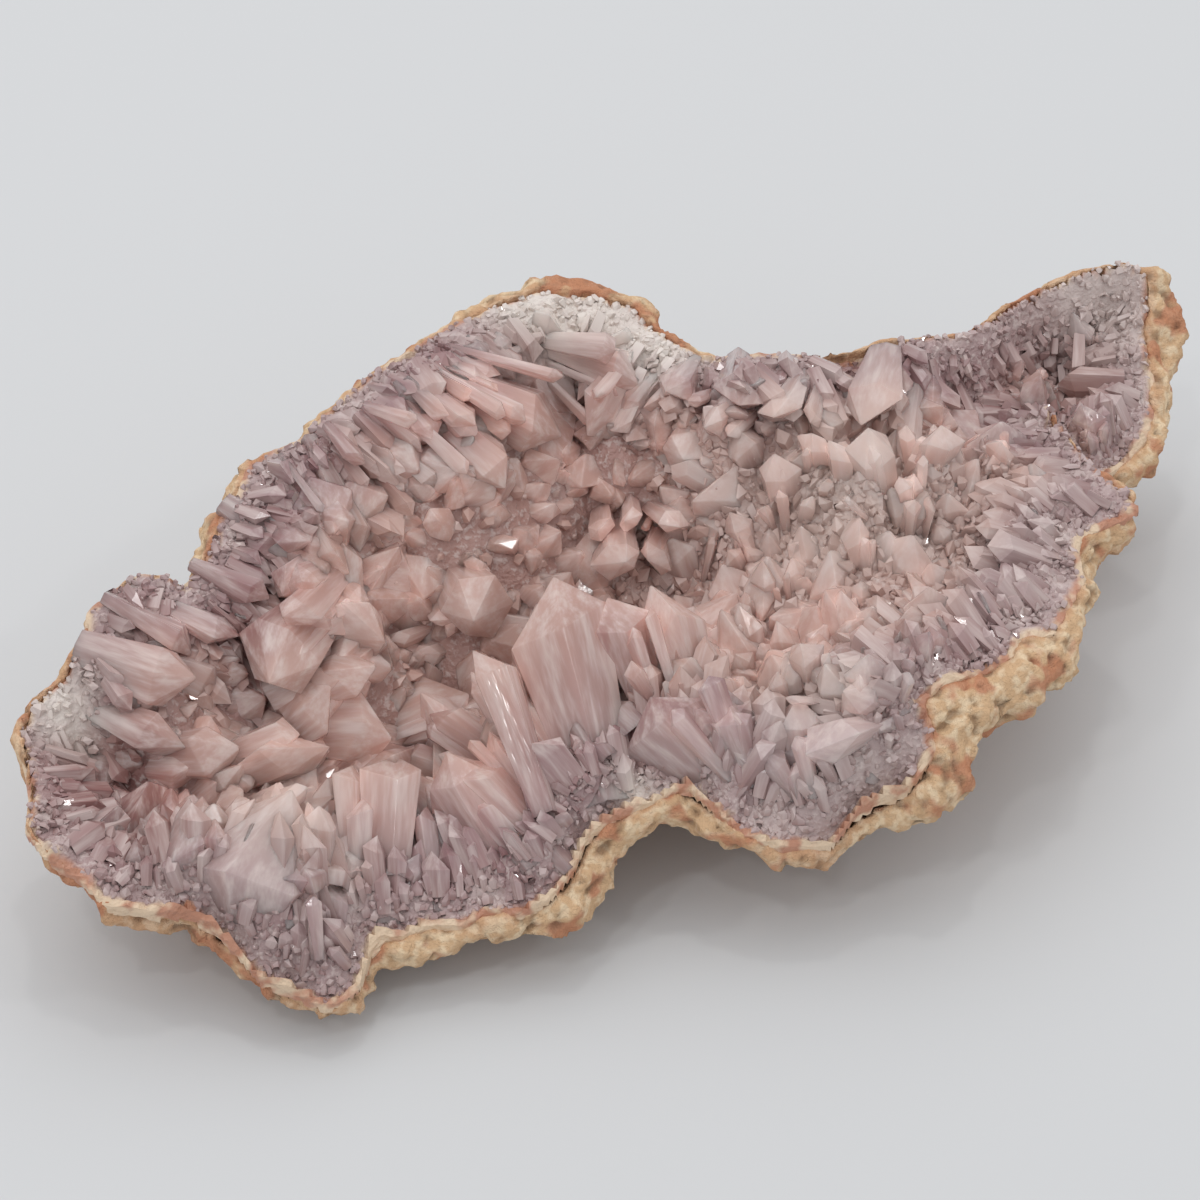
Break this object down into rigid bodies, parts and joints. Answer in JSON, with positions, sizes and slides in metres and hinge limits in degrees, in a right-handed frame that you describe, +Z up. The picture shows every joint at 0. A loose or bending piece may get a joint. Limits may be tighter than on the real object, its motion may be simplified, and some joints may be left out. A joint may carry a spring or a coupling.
{
  "type": "broken pink amethyst geode",
  "caption": "Broken pink amethyst geode: a lumpy cream and rust rind with a crust of milky pink crystals in its shallow hollow",
  "frame": {"origin": "centre of the bounding box's underside, on the table the stone rests on", "axes": "+X along the stone's length towards its narrow arm, +Y away from the low front edge towards the high back rim, +Z up"},
  "size_m": [0.182, 0.1328, 0.051],
  "materials": {
    "limestone": "rough, chalky and pitted, cream with rust coloured seams",
    "pink_amethyst": "milky and glassy, peach pink in the middle to mauve near the rim"
  },
  "bodies": {
    "root": {"rind": "limestone", "crystal_crust": "pink_amethyst"}
  },
  "joints": []
}
